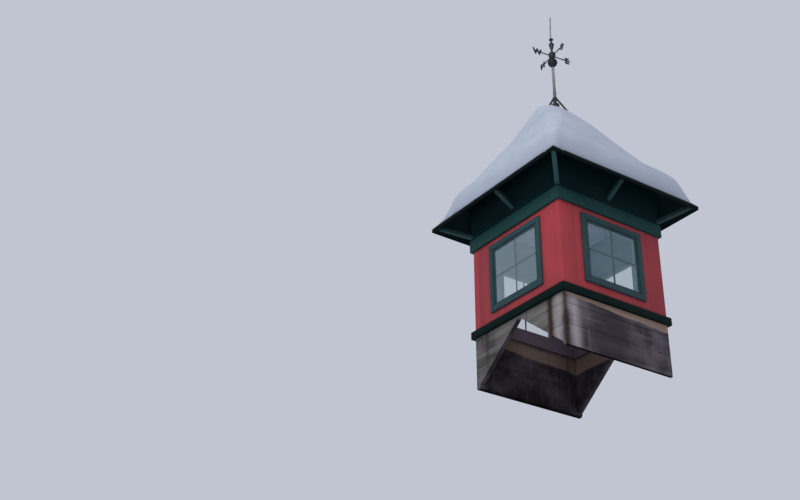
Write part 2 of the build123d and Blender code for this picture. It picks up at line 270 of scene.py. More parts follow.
@dataclass(frozen=True)
class BareTimber:
    """Unpainted boards that have gone grey, with dark runs, and a paler dry strip under the band above."""

    name: str = "grey_boards"
    dry: Colour = (0.3, 0.215, 0.17)
    grey: Colour = (0.095, 0.078, 0.1)
    wet: Colour = (0.03, 0.025, 0.033)
    rust: Colour = (0.026, 0.011, 0.009)
    pale: Colour = (0.28, 0.255, 0.275)
    green: Colour = (0.17, 0.175, 0.15)
    dry_foot: float = 0.4135
    dry_growth: float = 0.045

    def material(self) -> Material:
        """Return the material."""
        graph = Graph.of(self.name)
        fibres = graph.noise(80, Grain.LEVEL, 6)
        bands = graph.noise(14, Grain.LEVEL, 4)
        streaks = graph.noise(26, Grain.UPRIGHT, 4)
        patches = graph.noise(4.2, detail=5)
        across = graph.axis("X")
        run = across + graph.axis("Y") + 2 * WALL_HALF + (patches - 0.5) * 0.05
        left = across.fade(-WALL_HALF + 0.004, -WALL_HALF + 0.001)
        front = left.fade(1.0, 0.0)
        edge = graph.axis("Z") + (across + WALL_HALF) * self.dry_growth + patches * 0.04
        colour = graph.coats(
            self.wet,
            (patches.fade(0.4, 0.62), self.grey),
            (bands.fade(0.5, 0.72, 0.35), self.pale),
            (streaks.fade(0.52, 0.72, 0.35), self.green),
            (left * bands.fade(0.3, 0.65, 0.7), self.green),
            (run.band(0.47, 0.36) * front, self.wet),
            (run.band(0.085, 0.085) * streaks.fade(0.15, 0.5, 0.95), self.pale),
            (edge.fade(self.dry_foot - 0.014, self.dry_foot, 0.85) * front, self.dry),
            (run.band(0.0, 0.044) * 0.95, self.rust),
            (run.band(0.155, 0.052) * left, self.rust),
            (graph.noise(9, Grain.UPRIGHT, 3).fade(0.62, 0.7, 0.6), self.rust),
            (fibres.fade(0.55, 0.78, 0.5), self.wet),
        )
        graph.relief(fibres, 0.002, 0.7)
        return graph.finish(colour, bands.fade(0.1, 0.6, 0.95), gloss=0.2)


@dataclass(frozen=True)
class SettledSnow:
    """Settled snow with a fine grain and faint blue hollows, and painted shade low down on the roll along the eaves.
    """

    name: str = "settled_snow"
    bright: Colour = (0.36, 0.398, 0.485)
    hollow: Colour = (0.318, 0.355, 0.442)
    lower_shade: Colour = (0.29, 0.325, 0.405)
    lower_shade_fade: Sizes = (1.62, 1.42)

    def material(self) -> Material:
        """Return the material."""
        graph = Graph.of(self.name)
        crystals = graph.noise(260, detail=3)
        lumps = graph.noise(34, detail=4)
        colour = graph.coats(
            self.hollow,
            (graph.noise(4.5, detail=5).fade(0.3, 0.7), self.bright),
            (lumps.fade(0.55, 0.8, 0.15), self.hollow),
            # Painted shade: the snow is darker below a height, on the roll that faces outward and down
            (graph.axis("Z").fade(*self.lower_shade_fade), self.lower_shade),
        )
        graph.relief(crystals * 0.35 + lumps, 0.003, 0.4)
        return graph.finish(colour, crystals.fade(-1.0, 1.0, 0.95), gloss=0.15)


@dataclass(frozen=True)
class Pane:
    """Window glass with a thin film of dust, seen through. The sheet on the left side is dustier."""

    name: str = "dusty_glass"
    film: Colour = (0.12, 0.5, 0.62)
    dust: Colour = (0.42, 0.5, 0.56)
    alpha: float = 0.095
    smear: float = 0.03
    left_dust: float = 0.07
    left_edge: float = -0.49
    facing_top: float = 0.5

    def material(self) -> Material:
        """Return the material."""
        graph = Graph.of(self.name)
        haze = graph.noise(5.5, detail=4)
        smears = graph.noise(30, Grain.UPRIGHT, 4)
        left = graph.axis("X").fade(self.left_edge, self.left_edge - 0.001)
        dusty = graph.math("MAXIMUM", haze.fade(0.45, 0.8, 0.4), left * 0.6)
        cover = (smears * 0.5 + haze).fade(0.6, 1.1, self.smear) + left * self.left_dust
        graph.feed(graph.shader.inputs["Alpha"], cover + self.alpha)
        facing = graph.add("LayerWeight", "Facing").fade(0.25, 1.0, self.facing_top)
        mirror = graph.add("BsdfGlossy", 0, {"Roughness": 0.04})
        graph.surface("Material Output", facing, graph.shader.outputs[0], mirror)
        return graph.finish(graph.blend(dusty, self.film, self.dust), smears.fade(0.0, 1.2, 0.16))


@dataclass(frozen=True)
class OldMetal:
    """Aged metal with dull patches and specks of corrosion. Its foot may have a colour of its own."""

    name: str
    colour: Colour
    patch: Colour
    speck: Colour
    metal: float = 0.75
    foot: Colour | None = None
    foot_fade: Sizes = (0.0, 1.0)
    rough: float = 0.35
    gloss: float = 0.3

    def material(self) -> Material:
        """Return the material."""
        graph = Graph.of(self.name)
        patches = graph.noise(22, detail=5)
        specks = graph.noise(150, detail=5)
        coats = (patches.fade(0.4, 0.65), self.patch), (specks.fade(0.58, 0.72, 0.8), self.speck)
        colour = graph.coats(self.colour, *coats)
        if self.foot is not None:
            colour = graph.blend(graph.axis("Z").fade(*self.foot_fade), self.foot, colour)
        graph.relief(specks, 0.0008, 0.5)
        return graph.finish(colour, patches.fade(0.2, 0.8, 0.3) + self.rough, self.metal, self.gloss)


@dataclass(frozen=True)
class Shingle:
    """Dark wooden shingles with split grain down the slope."""

    name: str = "dark_shingles"
    colour: Colour = (0.02, 0.034, 0.034)
    grey: Colour = (0.06, 0.075, 0.075)

    def material(self) -> Material:
        """Return the material."""
        graph = Graph.of(self.name)
        fibres = graph.noise(120, Grain.UPRIGHT, 5)
        colour = graph.coats(
            self.colour,
            (graph.noise(8, detail=4).fade(0.35, 0.7), self.grey),
            (graph.tone().fade(-1.0, 1.0, 0.6), self.grey),
            (fibres.fade(0.5, 0.75, 0.6), self.colour),
        )
        graph.relief(fibres, 0.002, 0.7)
        return graph.finish(colour, fibres.fade(-0.6, 0.6, 0.9), gloss=0.2)


class Finish(Enum):
    """The object's finishes, by the pieces that they are for."""

    # The red's dark shade colour and deep tone also carry the walls' painted shade toward their far ends
    RED = Paint("red_paint", (0.37, 0.043, 0.054), (0.21, 0.032, 0.041), (0.395, 0.067, 0.075), tone_depth=0.75)
    CASING = Paint("casing_green_paint", (0.022, 0.056, 0.064), (0.014, 0.038, 0.045), (0.04, 0.075, 0.08))
    BAR = Paint("bar_paint", (0.022, 0.032, 0.045), (0.017, 0.025, 0.036), (0.03, 0.042, 0.056))
    FRIEZE = Paint(
        "frieze_green_paint", (0.009, 0.048, 0.047), (0.006, 0.033, 0.033), (0.017, 0.058, 0.056), Grain.LEVEL
    )
    # The braces' very dark shade colour, laid on by their place through the tone, is painted shade
    BRACE = Paint(
        "brace_green_paint",
        (0.03, 0.08, 0.088),
        (0.003, 0.014, 0.016),
        (0.03, 0.07, 0.075),
        Grain.EVEN,
        tone_depth=1.0,
        wear=0.1,
    )
    DEEP_GREEN = Paint(
        "deep_green_paint",
        (0.0018, 0.01, 0.0095),
        (0.0012, 0.006, 0.006),
        (0.004, 0.014, 0.014),
        Grain.LEVEL,
        gloss=0.06,
    )
    # The eave's near-black is partly its dark green paint and partly painted shade for the shadowed underside of the
    # overhang
    EAVE = Paint(
        "eave_paint", (0.005, 0.019, 0.022), (0.003, 0.013, 0.015), (0.009, 0.027, 0.03), Grain.LEVEL, gloss=0.05
    )
    EDGE = Paint(
        "roof_edge_paint", (0.002, 0.005, 0.006), (0.001, 0.003, 0.0035), (0.004, 0.009, 0.01), Grain.LEVEL, gloss=0.03
    )
    ROOM = Paint("room_paint", (0.2, 0.15, 0.2), (0.165, 0.122, 0.165), (0.24, 0.185, 0.24), Grain.LEVEL)
    CEILING = Paint("ceiling_paint", (0.64, 0.55, 0.92), (0.57, 0.49, 0.84), (0.68, 0.6, 0.94), Grain.LEVEL)
    TIMBER = BareTimber()
    SNOW = SettledSnow()
    GLASS = Pane()
    IRON = OldMetal("old_iron", (0.03, 0.032, 0.039), (0.045, 0.045, 0.052), (0.07, 0.05, 0.043))
    BRONZE = OldMetal(
        "dull_bronze",
        (0.3, 0.28, 0.285),
        (0.21, 0.197, 0.2),
        (0.12, 0.1, 0.09),
        metal=0.4,
        foot=(0.11, 0.115, 0.125),
        foot_fade=(2.54, 2.84),
    )
    ZINC = OldMetal("dull_zinc", (0.19, 0.2, 0.22), (0.14, 0.15, 0.165), (0.1, 0.095, 0.09))
    GLOBE = OldMetal("old_globe", (0.016, 0.02, 0.024), (0.024, 0.032, 0.035), (0.04, 0.045, 0.047))
    CAP = OldMetal("hip_metal", (0.012, 0.02, 0.022), (0.02, 0.03, 0.03), (0.03, 0.035, 0.03))
    SHINGLE = Shingle()

    @cache
    def material(self) -> Material:
        """Return its material, which is made once."""
        return self.value.material()


def only(obj: Piece | None = None) -> None:
    """Deselect everything, and select one object if it is given."""
    bpy.ops.object.select_all(action="DESELECT")
    bpy.context.view_layer.objects.active = obj
    if obj is not None:
        obj.select_set(True)


@contextmanager
def editing(obj: Piece) -> Iterator[None]:
    """Open an object's mesh for editing, with all of it selected."""
    only(obj)
    bpy.ops.object.mode_set(mode="EDIT")
    bpy.ops.mesh.select_all(action="SELECT")
    yield
    bpy.ops.object.mode_set(mode="OBJECT")


def face_outward(obj: Piece) -> Piece:
    """Turn all of an object's faces outward, and return it."""
    with editing(obj):
        bpy.ops.mesh.normals_make_consistent(inside=False)
    return obj


def settle(obj: Piece, name: str) -> Piece:
    """Name an object, put its place, turn and size into its mesh, and return it."""
    obj.name = name
    only(obj)
    bpy.ops.object.transform_apply(location=True, rotation=True, scale=True)
    return obj


def tint(obj: Piece, tone: float) -> Piece:
    """Give all of an object a tone, from -1 to 1, and return it."""
    layer = obj.data.attributes.get("tone") or obj.data.attributes.new("tone", "FLOAT", "POINT")
    layer.data.foreach_set("value", [tone] * len(obj.data.vertices))
    return obj


def block(name: str, low: Sequence[float], high: Sequence[float], tone: float = 0.0) -> Piece:
    """Add a square block.

    Args:
        name: Its name.
        low: Its lowest corner.
        high: Its highest corner.
        tone: The tone of its finish, from -1 to 1.

    Returns:
        The block, with its place in its mesh.
    """
    low, high = Vector(low), Vector(high)
    only()
    bpy.ops.mesh.primitive_cube_add(size=1, location=(low + high) / 2)
    bpy.context.object.scale = high - low
    return tint(settle(bpy.context.object, name), tone)


def row(low: Sequence[float], high: Sequence[float], tones: list[float], gap: float) -> list[Piece]:
    """Lay boards edge to edge along X.

    Args:
        low: The lowest corner of the row.
        high: Its highest corner.
        tones: The tone of each board.
        gap: Half the gap between two boards.

    Returns:
        The boards.
    """
    pitch = (high[0] - low[0]) / len(tones)
    boards = []
    for index, tone in enumerate(tones):
        start = low[0] + pitch * index
        boards.append(block("board", (start + gap, *low[1:]), (start + pitch - gap, *high[1:]), tone))
    return boards


def modify(obj: Piece, kind: str, **settings: object) -> Piece:
    """Add a modifier with its settings, apply it, and return the object."""
    modifier = obj.modifiers.new(kind.lower(), kind)
    for key, value in settings.items():
        setattr(modifier, key, value)
    only(obj)
    bpy.ops.object.modifier_apply(modifier=modifier.name)
    return obj


def ease(obj: Piece, width: float, segments: int = 2) -> Piece:
    """Round an object's sharp edges, and return it."""
    return modify(obj, "BEVEL", width=width, segments=segments, limit_method="ANGLE", angle_limit=SHARP_ANGLE)


def cut(obj: Piece, cutter: Piece) -> Piece:
    """Cut another object's shape out of an object, delete the cutter, and return the object."""
    modify(obj, "BOOLEAN", operation="DIFFERENCE", solver="EXACT", object=cutter)
    bpy.data.objects.remove(cutter)
    return obj


def join(name: str, parts: list[Piece]) -> Piece:
    """Join parts into one object."""
    only(parts[0])
    for part in parts:
        part.select_set(True)
    bpy.ops.object.join()
    parts[0].name = name
    return parts[0]


def copy(obj: Piece, name: str, place: Matrix) -> Piece:
    """Copy an object with its own mesh, moved by a matrix."""
    twin = obj.copy()
    twin.data = obj.data.copy()
    twin.name = name
    twin.data.transform(place)
    bpy.context.scene.collection.objects.link(twin)
    return twin


def round_sides(obj: Piece, word: str) -> dict[Side, Piece]:
    """Copy a front piece to the other three sides, and return the four."""
    obj.name = Side.FRONT.named(word)
    made = {Side.FRONT: obj}
    for side in list(Side)[1:]:
        made[side] = copy(obj, side.named(word), side.turn())
    return made


def turn_to(side: Side, obj: Piece, word: str) -> Piece:
    """Turn a front piece round to the side that it is for, name it, and return it."""
    obj.data.transform(side.turn())
    obj.name = side.named(word)
    return obj


def from_node(node: str, name: str, easing: float = 0.0) -> Piece:
    """Copy a CAD node's solid to a new piece with clean faces.

    Args:
        node: The node.
        name: The new piece's name.
        easing: The rounding of its edges.

    Returns:
        The new piece.
    """
    obj = bpy.data.objects.new(name, bpy.data.objects[node].data.copy())
    bpy.context.scene.collection.objects.link(obj)
    obj.data.materials.clear()
    with editing(obj):
        bpy.ops.mesh.remove_doubles(threshold=0.00002)
        bpy.ops.mesh.dissolve_limited(angle_limit=math.radians(0.5))
    if easing:
        ease(obj, easing)
    return tint(obj, 0.0)


def lifted(profile: Profile, level: float) -> Profile:
    """Return a profile's (radius, height) points, raised to a level."""
    return [(radius, level + height) for radius, height in profile]


def turned(name: str, profile: Profile, sides: int = 40) -> Piece:
    """Turn up a piece on the axis, ring by ring.

    Args:
        name: Its name.
        profile: The (radius, height) of each ring, from the bottom.
        sides: The number of its sides.

    Returns:
        The turned piece, closed at both ends.
    """
    radius, height = profile[0]
    only()
    bpy.ops.mesh.primitive_circle_add(vertices=sides, radius=radius, fill_type="NGON", location=(0, 0, height))
    obj = settle(bpy.context.object, name)
    with editing(obj):
        for wide, high in profile[1:]:
            bpy.ops.mesh.extrude_region_move(TRANSFORM_OT_translate={"value": (0, 0, high - height)})
            bpy.ops.transform.resize(value=(wide / radius, wide / radius, 1), center_override=(0, 0, high))
            radius, height = wide, high
    return face_outward(obj)


def rod(name: str, start: Point, end: Point, radius: float, sides: int = 16) -> Piece:
    """Add a round rod between two points, with its rims eased."""
    start, along = Vector(start), Vector(end) - Vector(start)
    obj = turned(name, [(radius, 0.0), (radius, along.length)], sides)
    obj.data.transform(Matrix.Translation(start) @ along.to_track_quat("Z", "Y").to_matrix().to_4x4())
    return ease(obj, radius * 0.25)


def plate(name: str, outline: Profile, thickness: float) -> Piece:
    """Cut an upright plate, in the plane of X and Z, from its outline.

    Args:
        name: Its name.
        outline: Its (x, z) corners in order.
        thickness: Its thickness.

    Returns:
        The plate, with the plane at the middle of its thickness.
    """
    only()
    bpy.ops.mesh.primitive_circle_add(vertices=len(outline), radius=1, fill_type="NGON")
    obj = bpy.context.object
    obj.name = name
    for vertex, (across, up) in zip(obj.data.vertices, outline):
        vertex.co = (across, thickness / 2, up)
    with editing(obj):
        bpy.ops.mesh.extrude_region_move(TRANSFORM_OT_translate={"value": (0, -thickness, 0)})
    return ease(face_outward(obj), thickness * 0.2, 1)


def placed(spot: Point, degrees: float, axis: str) -> Matrix:
    """Return the move that turns a piece about one of its axes, and then takes it to a spot."""
    return Matrix.Translation(spot) @ Matrix.Rotation(math.radians(degrees), 4, axis)


@dataclass
class Assembly:
    """A sub-assembly of the cupola, which builds its pieces and dresses them."""

    body: str = "cupola"

    def dress(self, obj: Piece, finish: Finish, slot: str, *nodes: str) -> None:
        """Finish a piece and report it.

        Args:
            obj: The piece.
            finish: Its finish.
            slot: The name of its material slot, which is not used.
            nodes: The CAD nodes that it stands for.
        """
        obj.data.materials.clear()
        obj.data.materials.append(finish.material())
        only(obj)
        bpy.ops.object.shade_smooth_by_angle(angle=SMOOTH_ANGLE)
        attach(obj, self.body)
        if nodes:
            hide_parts(*nodes)
        LOG.info("%s: %d faces", obj.name, len(obj.data.polygons))

    def repaint(self, node: str, finish: Finish) -> None:
        """Give a CAD node that is shown its finish, and report it."""
        mesh = bpy.data.objects[node].data
        mesh.materials.clear()
        mesh.materials.append(finish.material())
        LOG.info("%s: repainted", node)


@dataclass
class Curb(Assembly):
    """The bare boards between the cupola and the roof that it stands on."""

    boards: int = 3
    gap: float = 0.0025
    groove: float = 0.006
    easing: float = 0.001
    nail_radius: float = 0.004
    nail_half: float = 0.46
    nail_rise: float = 0.05
    nail_ends: Sizes = (-0.4985, -0.5008)

    def build(self) -> None:
        """Saw the four curb boards into planks, and nail them."""
        inner = WALL_HALF - self.groove
        for side in Side:
            node = side.named("curb")
            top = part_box(node)[1].z
            piece = from_node(node, side.named("curb_planks"))
            for joint in range(1, self.boards):
                level = top * joint / self.boards
                slot = block("joint", (-1, -1, level - self.gap / 2), (1, 1, level + self.gap / 2))
                core = block("core", (-inner, -inner, level - 4 * self.gap), (inner, inner, level + 4 * self.gap))
                cut(piece, cut(slot, core))
            planks = [ease(piece, self.easing), *self.nails(side, top)]
            self.dress(join(piece.name, planks), Finish.TIMBER, "weathered_timber", node)

    def nails(self, side: Side, top: float) -> list[Piece]:
        """Return the nail heads of a side, which stand just proud of its face. The notched boards have none."""
        back, face = self.nail_ends
        head = rod("nail", (0, back, 0), (0, face, 0), self.nail_radius, 8)
        nails = []
        for board in range(1 if side in (Side.RIGHT, Side.LEFT) else 0, self.boards):
            level = top * (board + 0.5) / self.boards
            for across in (-self.nail_half, self.nail_half):
                for rise in (-self.nail_rise, self.nail_rise):
                    spot = Matrix.Translation((across, 0, level + rise))
                    nails.append(copy(head, "nail", side.turn() @ spot))
        bpy.data.objects.remove(head)
        return nails


@dataclass
class Walls(Assembly):
    """The red boarded walls, with their pale lining and ceiling inside."""

    boards: int = 7
    side_boards: int = 6
    board_thickness: float = 0.019
    board_gap: float = 0.0002
    board_easing: float = 0.0022
    opening_reach: float = 0.1
    ceiling_boards: int = 9
    ceiling_gap: float = 0.0003
    ceiling_tone: float = 0.6
    ceiling_easing: float = 0.003
    seed: int = 11
    # Painted shade: how much darker a side's boards get toward its far end
    painted_shade_slope: dict[Side, float] = field(default_factory=lambda: {Side.FRONT: 0.7, Side.LEFT: -0.75})

    def opened(self, obj: Piece) -> Piece:
        """Cut the window's opening through a front piece, and return it."""
        low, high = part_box("window_casing_front")
        edge, near, far = CASING_WIDTH, -WALL_HALF - self.opening_reach, -WALL_HALF + self.opening_reach
        return cut(obj, block("opening", (low.x + edge, near, low.z + edge), (high.x - edge, far, high.z - edge)))

    def boarding(self, side: Side, dice: random.Random) -> Piece:
        """Nail up a wall's boards on the front, with strips beside those that run through at the corners.

        Args:
            side: The side that the wall is for. Its boards may get darker toward one end, as painted shade.
            dice: Where the tones come from.

        Returns:
            The boarding, with its window opening cut.
        """
        low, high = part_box("wall_front")
        back = low.y + self.board_thickness
        runs_through = side in (Side.FRONT, Side.BACK)
        half, count = (WALL_HALF, self.boards) if runs_through else (-high.y, self.side_boards)
        # Painted shade: boards are toned darker toward the wall's far end, with less random tone where it is strong
        painted_shade_slope = self.painted_shade_slope.get(side, 0.0)
        darker = [painted_shade_slope * (2 * index / (count - 1) - 1) for index in range(count)]
        tones = [tone + dice.uniform(-1, 1) * (1 - abs(painted_shade_slope)) for tone in darker]
        parts = row((-half, low.y, low.z), (half, back, high.z), tones, self.board_gap)
        for end in (-half, half - self.board_thickness) if runs_through else ():
            corners = (end, back + self.board_gap, low.z), (end + self.board_thickness, high.y, high.z)
            parts.append(block("board", *corners, dice.uniform(-1, 0)))
        return self.opened(ease(join("boards", parts), self.board_easing))

    def lining(self, side: Side) -> Piece:
        """Return a wall's lining on the front, with its window opening cut."""
        low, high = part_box("wall_front")
        half = WALL_HALF - self.board_thickness if side in (Side.FRONT, Side.BACK) else -high.y
        corners = (-half, low.y + self.board_thickness, low.z), (half, high.y, high.z)
        return self.opened(block("lining", *corners))

    def build(self) -> None:
        """Build the boarding and lining of each side, and the ceiling's boards."""
        dice = random.Random(self.seed)
        for side in Side:
            piece = turn_to(side, self.boarding(side, dice), "wall_boards")
            self.dress(piece, Finish.RED, "red_paint", side.named("wall"))
            self.dress(turn_to(side, self.lining(side), "wall_lining"), Finish.ROOM, "ceiling_paint")
        tones = [(index % 3 - 1) * self.ceiling_tone for index in range(self.ceiling_boards)]
        parts = row(*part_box("ceiling"), tones, self.ceiling_gap)
        piece = ease(join("ceiling_boards", parts), self.ceiling_easing, 1)
        self.dress(piece, Finish.CEILING, "ceiling_paint", "ceiling")


@dataclass
class Windows(Assembly):
    """The casings, sashes, bars and glass of the four windows."""

    rail: float = 0.018
    casing_easing: float = 0.002
    sash_easing: float = 0.0015
    bar_easing: float = 0.0006
    bar_width: float = 0.013
    bar_face: float = -0.5022
    bar_back: float = -0.4998
    glass_back: float = -0.499
    corner_gap: float = 0.0004
    lap: float = 0.0002

    def frame(self, low: Vector, high: Vector, width: float, easing: float) -> Piece:
        """Return a square frame of two stiles and two rails, with eased edges."""
        left, right = low.x + width + self.corner_gap, high.x - width - self.corner_gap
        spans = (
            ((low.x, low.z), (low.x + width, high.z), 0.3),
            ((high.x - width, low.z), (high.x, high.z), -0.4),
            ((left, low.z), (right, low.z + width), 0.6),
            ((left, high.z - width), (right, high.z), -0.2),
        )
        parts = []
        for one, two, tone in spans:
            rail = block("rail", (one[0], low.y, one[1]), (two[0], high.y, two[1]), tone)
            parts.append(ease(rail, easing))
        return join("frame", parts)

    def bars(self, low: Vector, high: Vector) -> Piece:
        """Return the thin bars inside the front sash's sealed pane, which cross in its middle."""
        start = Vector((low.x + self.rail, 0, low.z + self.rail))
        end = Vector((high.x - self.rail, 0, high.z - self.rail))
        middle = (start + end) / 2
        half, face, back = self.bar_width / 2, self.bar_face, self.bar_back
        upright = block("bar", (middle.x - half, face, start.z), (middle.x + half, back, end.z))
        near, far = (start.x, face + self.lap, middle.z - half), (end.x, back - self.lap, middle.z + half)
        return join("bars", [ease(bar, self.bar_easing) for bar in (upright, block("bar", near, far))])

    def build(self) -> None:
        """Build the four windows, each with a sash in an outer and an inner half."""
        casing = self.frame(*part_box("window_casing_front"), CASING_WIDTH, self.casing_easing)
        low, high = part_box("window_sash_front")
        outer = Vector((high.x, self.glass_back, high.z))
        inner = Vector((low.x, self.glass_back + self.lap, low.z))
        pieces = (
            (casing, "casing_boards", Finish.CASING, "window_casing"),
            (self.frame(low, outer, self.rail, self.sash_easing), "sash_frame", Finish.CASING, "window_sash"),
            (self.frame(inner, high, self.rail, self.sash_easing), "sash_back", Finish.ROOM, "window_sash"),
            (self.bars(low, high), "sash_bars", Finish.BAR, "window_sash"),
        )
        for front, word, finish, node in pieces:
            for side, piece in round_sides(front, word).items():
                self.dress(piece, finish, "green_paint", side.named(node))
        self.repaint("window_glass", Finish.GLASS)


@dataclass
class Trim(Assembly):
    """The water table, frieze, eave boards, fascia and braces."""

    easing: float = 0.002
    corner_place: float = 0.3
    middle_painted_shade: float = -0.15
    side_corner_painted_shade: float = -0.1
    near_corner_painted_shade: float = -0.8

    def build(self) -> None:
        """Soften the edges of each trim board, and paint it."""
        boards = (
            ("water_table", "water_table_board", Finish.DEEP_GREEN, "dark_green_paint"),
            ("frieze", "frieze_board", Finish.FRIEZE, "green_paint"),
            ("fascia", "fascia_board", Finish.EDGE, "dark_green_paint"),
        )
        for node, word, finish, slot in boards:
            for side in Side:
                piece = from_node(side.named(node), side.named(word), self.easing)
                self.dress(piece, finish, slot, side.named(node))
        # Painted shade: the knee braces are toned by place, the middles and side corners darker than the near and far
        # corners
        braces = from_node("eave_braces", "knee_braces", self.easing)
        for vertex, tone in zip(braces.data.vertices, braces.data.attributes["tone"].data):
            across, along = vertex.co.x, vertex.co.y
            tone.value = self.middle_painted_shade
            if min(abs(across), abs(along)) > self.corner_place:
                tone.value = self.side_corner_painted_shade if across * along < 0 else self.near_corner_painted_shade
        self.dress(braces, Finish.BRACE, "green_paint", "eave_braces")
        for side in Side:
            # The eave boards and the roof's underside take the eave paint, with its painted shade
            self.repaint(side.named("eave_board"), Finish.EAVE)
            self.repaint(side.named("roof"), Finish.EAVE)


@dataclass
class RoofCurve:
    """The bell-cast curve of the roof: one arc from its edge to its apex, with its centre out above the eave."""

    sag: float = 0.038
    fascia: float = 0.012
    fascia_depth: float = 0.025

    def __post_init__(self) -> None:
        """Find the arc from how far it lies below a straight slope, and from the fascia that it stops behind."""
        low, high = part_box("roof_front")
        self.eave = Vector((-low.y + self.fascia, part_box("fascia_front")[0].z + self.fascia_depth))
        self.apex = Vector((0.0, high.z))
        chord = self.apex - self.eave
        out = Vector((-chord.y, chord.x)).normalized()
        if out.x < 0:
            out = -out
        self.radius = (chord.length**2 / 4 + self.sag**2) / (2 * self.sag)
        self.centre = (self.eave + self.apex) / 2 + out * (self.radius - self.sag)
        self.start, self.end = (self.bearing(point) for point in (self.eave, self.apex))

    def bearing(self, point: Vector) -> float:
        """Return the angle at which a point is seen from the arc's centre."""
        return math.atan2(point.y - self.centre.y, point.x - self.centre.x) % math.tau

    def point(self, share: float) -> Vector:
        """Return the (reach, height) of the point at a share of the way up the arc."""
        angle = self.start + (self.end - self.start) * share
        return self.centre + Vector((math.cos(angle), math.sin(angle))) * self.radius

    def height(self, half: float) -> float:
        """Return the roof's height at a distance from the middle."""
        return self.centre.y - math.sqrt(self.radius**2 - (half - self.centre.x) ** 2)

    def half(self, height: float, lift: float) -> float:
        """Return the distance from the middle at which a layer lifted off the roof has a height."""
        return self.centre.x - math.sqrt((self.radius - lift) ** 2 - (height - self.centre.y) ** 2)


@dataclass
class Roof(Assembly):
    """The shingles and hip caps under the snow."""

    exposure: float = 0.127
    lap: Sizes = (0.06, 1.1)
    butt: float = 0.005
    tip: float = 0.0015
    lift: float = 0.0003
    shingle_gap: float = 0.0015
    cap_half: float = 0.075
    widths: Sizes = (0.08, 0.15)
    seed: int = 5

    def build(self) -> None:
        """Lay the shingles of each side in courses, and finish the hip caps."""
        curve = RoofCurve()
        courses = int(abs(curve.end - curve.start) * curve.radius / self.exposure)
        dice = random.Random(self.seed)
        for side in Side:
            parts = []
            for course in range(courses):
                foot, head = (curve.point((course + share) / courses) for share in self.lap)
                parts += self.course(foot, head, dice)
            piece = join("shingles", parts)
            for sign in (-1, 1):
                self.trim_hip(piece, sign)
            self.dress(turn_to(side, piece, "shingles"), Finish.SHINGLE, "roofing")
        self.repaint("hip_caps", Finish.CAP)

    def course(self, foot: Vector, head: Vector, dice: random.Random) -> list[Piece]:
        """Return the shingles of one course on the front, from the (reach, height) of its foot and head."""
        length = (head - foot).length
        slope = math.atan2(head.y - foot.y, foot.x - head.x)
        place = Matrix.Translation((0, -foot.x, foot.y)) @ Matrix.Rotation(slope, 4, "X")
        parts = []
        across = -foot.x
        while across < foot.x:
            width = dice.uniform(*self.widths)
            low = (across + self.shingle_gap, 0, self.lift)
            shingle = block("shingle", low, (across + width, length, self.butt), dice.uniform(-1, 1))
            for vertex in shingle.data.vertices:
                if vertex.co.y > length / 2 and vertex.co.z > self.butt / 2:
                    vertex.co.z = self.tip
            shingle.data.transform(place)
            parts.append(shingle)
            across += width
        return parts

    def trim_hip(self, piece: Piece, sign: int) -> None:
        """Cut the front shingles back from a hip, to the edge of its cap."""
        edge = (sign * -self.cap_half * math.sqrt(2), 0, 0)
        with editing(piece):
            bpy.ops.mesh.bisect(plane_co=edge, plane_no=(sign, 1, 0), use_fill=True, clear_outer=True)


